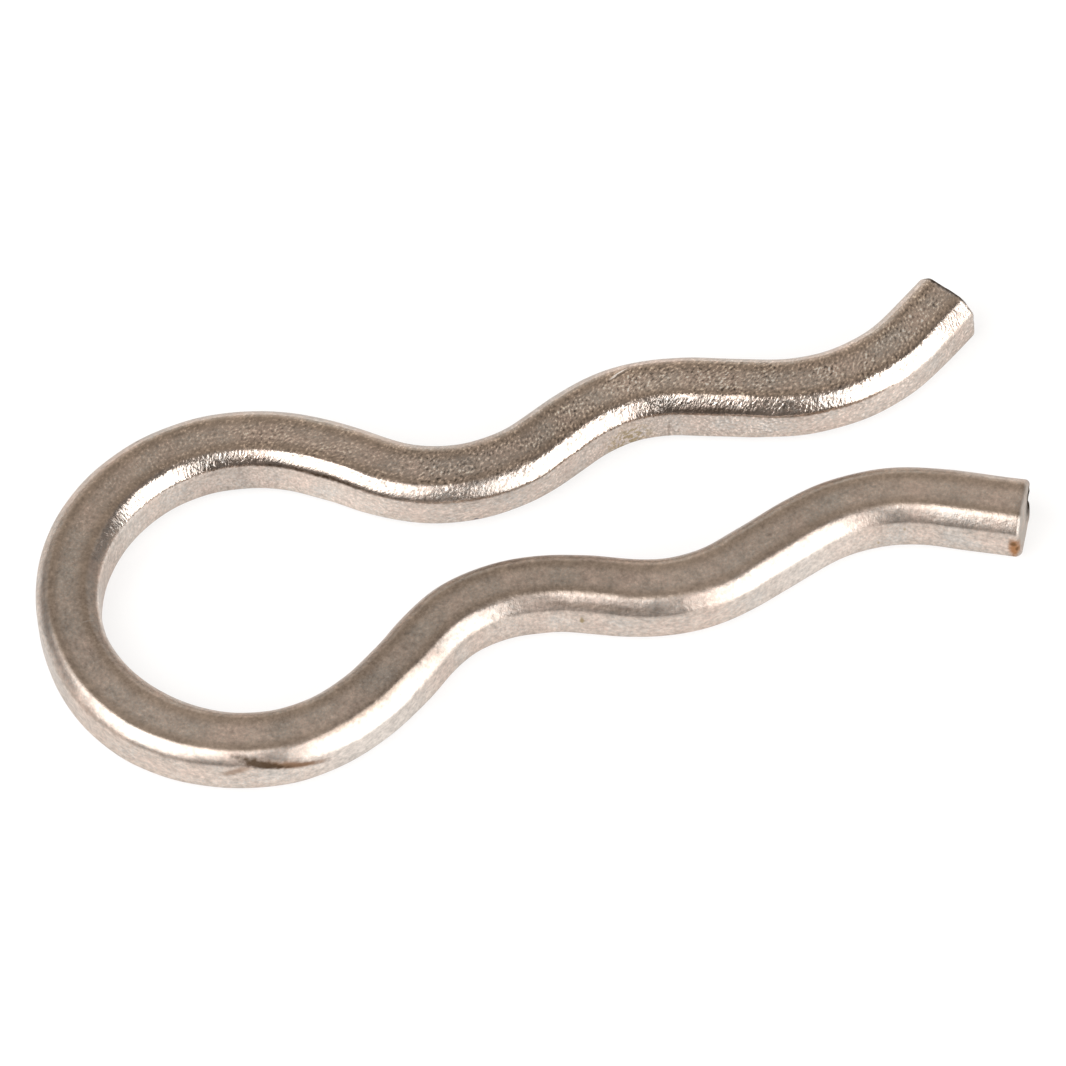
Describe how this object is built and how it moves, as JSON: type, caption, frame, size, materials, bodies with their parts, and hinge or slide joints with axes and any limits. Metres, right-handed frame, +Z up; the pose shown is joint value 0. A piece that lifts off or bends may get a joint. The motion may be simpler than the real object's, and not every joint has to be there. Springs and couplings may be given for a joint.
{
  "type": "spring cotter pin",
  "caption": "Spring cotter pin bent flat from square wire: a round eye, a neck, a bowed seat that grips a grooved shaft, and flared open tips.",
  "frame": {"origin": "middle of the round eye, in the plane that the pin lies on", "axes": "+X along the pin from the eye to the open tips, +Y to the leg with the steeper tip, +Z up, square to the plane that the wire is bent in"},
  "size_m": [0.0303, 0.0128, 0.002],
  "materials": {
    "plated_wire": "dull warm-grey plating over square spring wire, tumbled, with a fine grain, rubbed corners and small stains"
  },
  "bodies": {
    "root": {"cotter_pin": "plated_wire"}
  },
  "joints": []
}
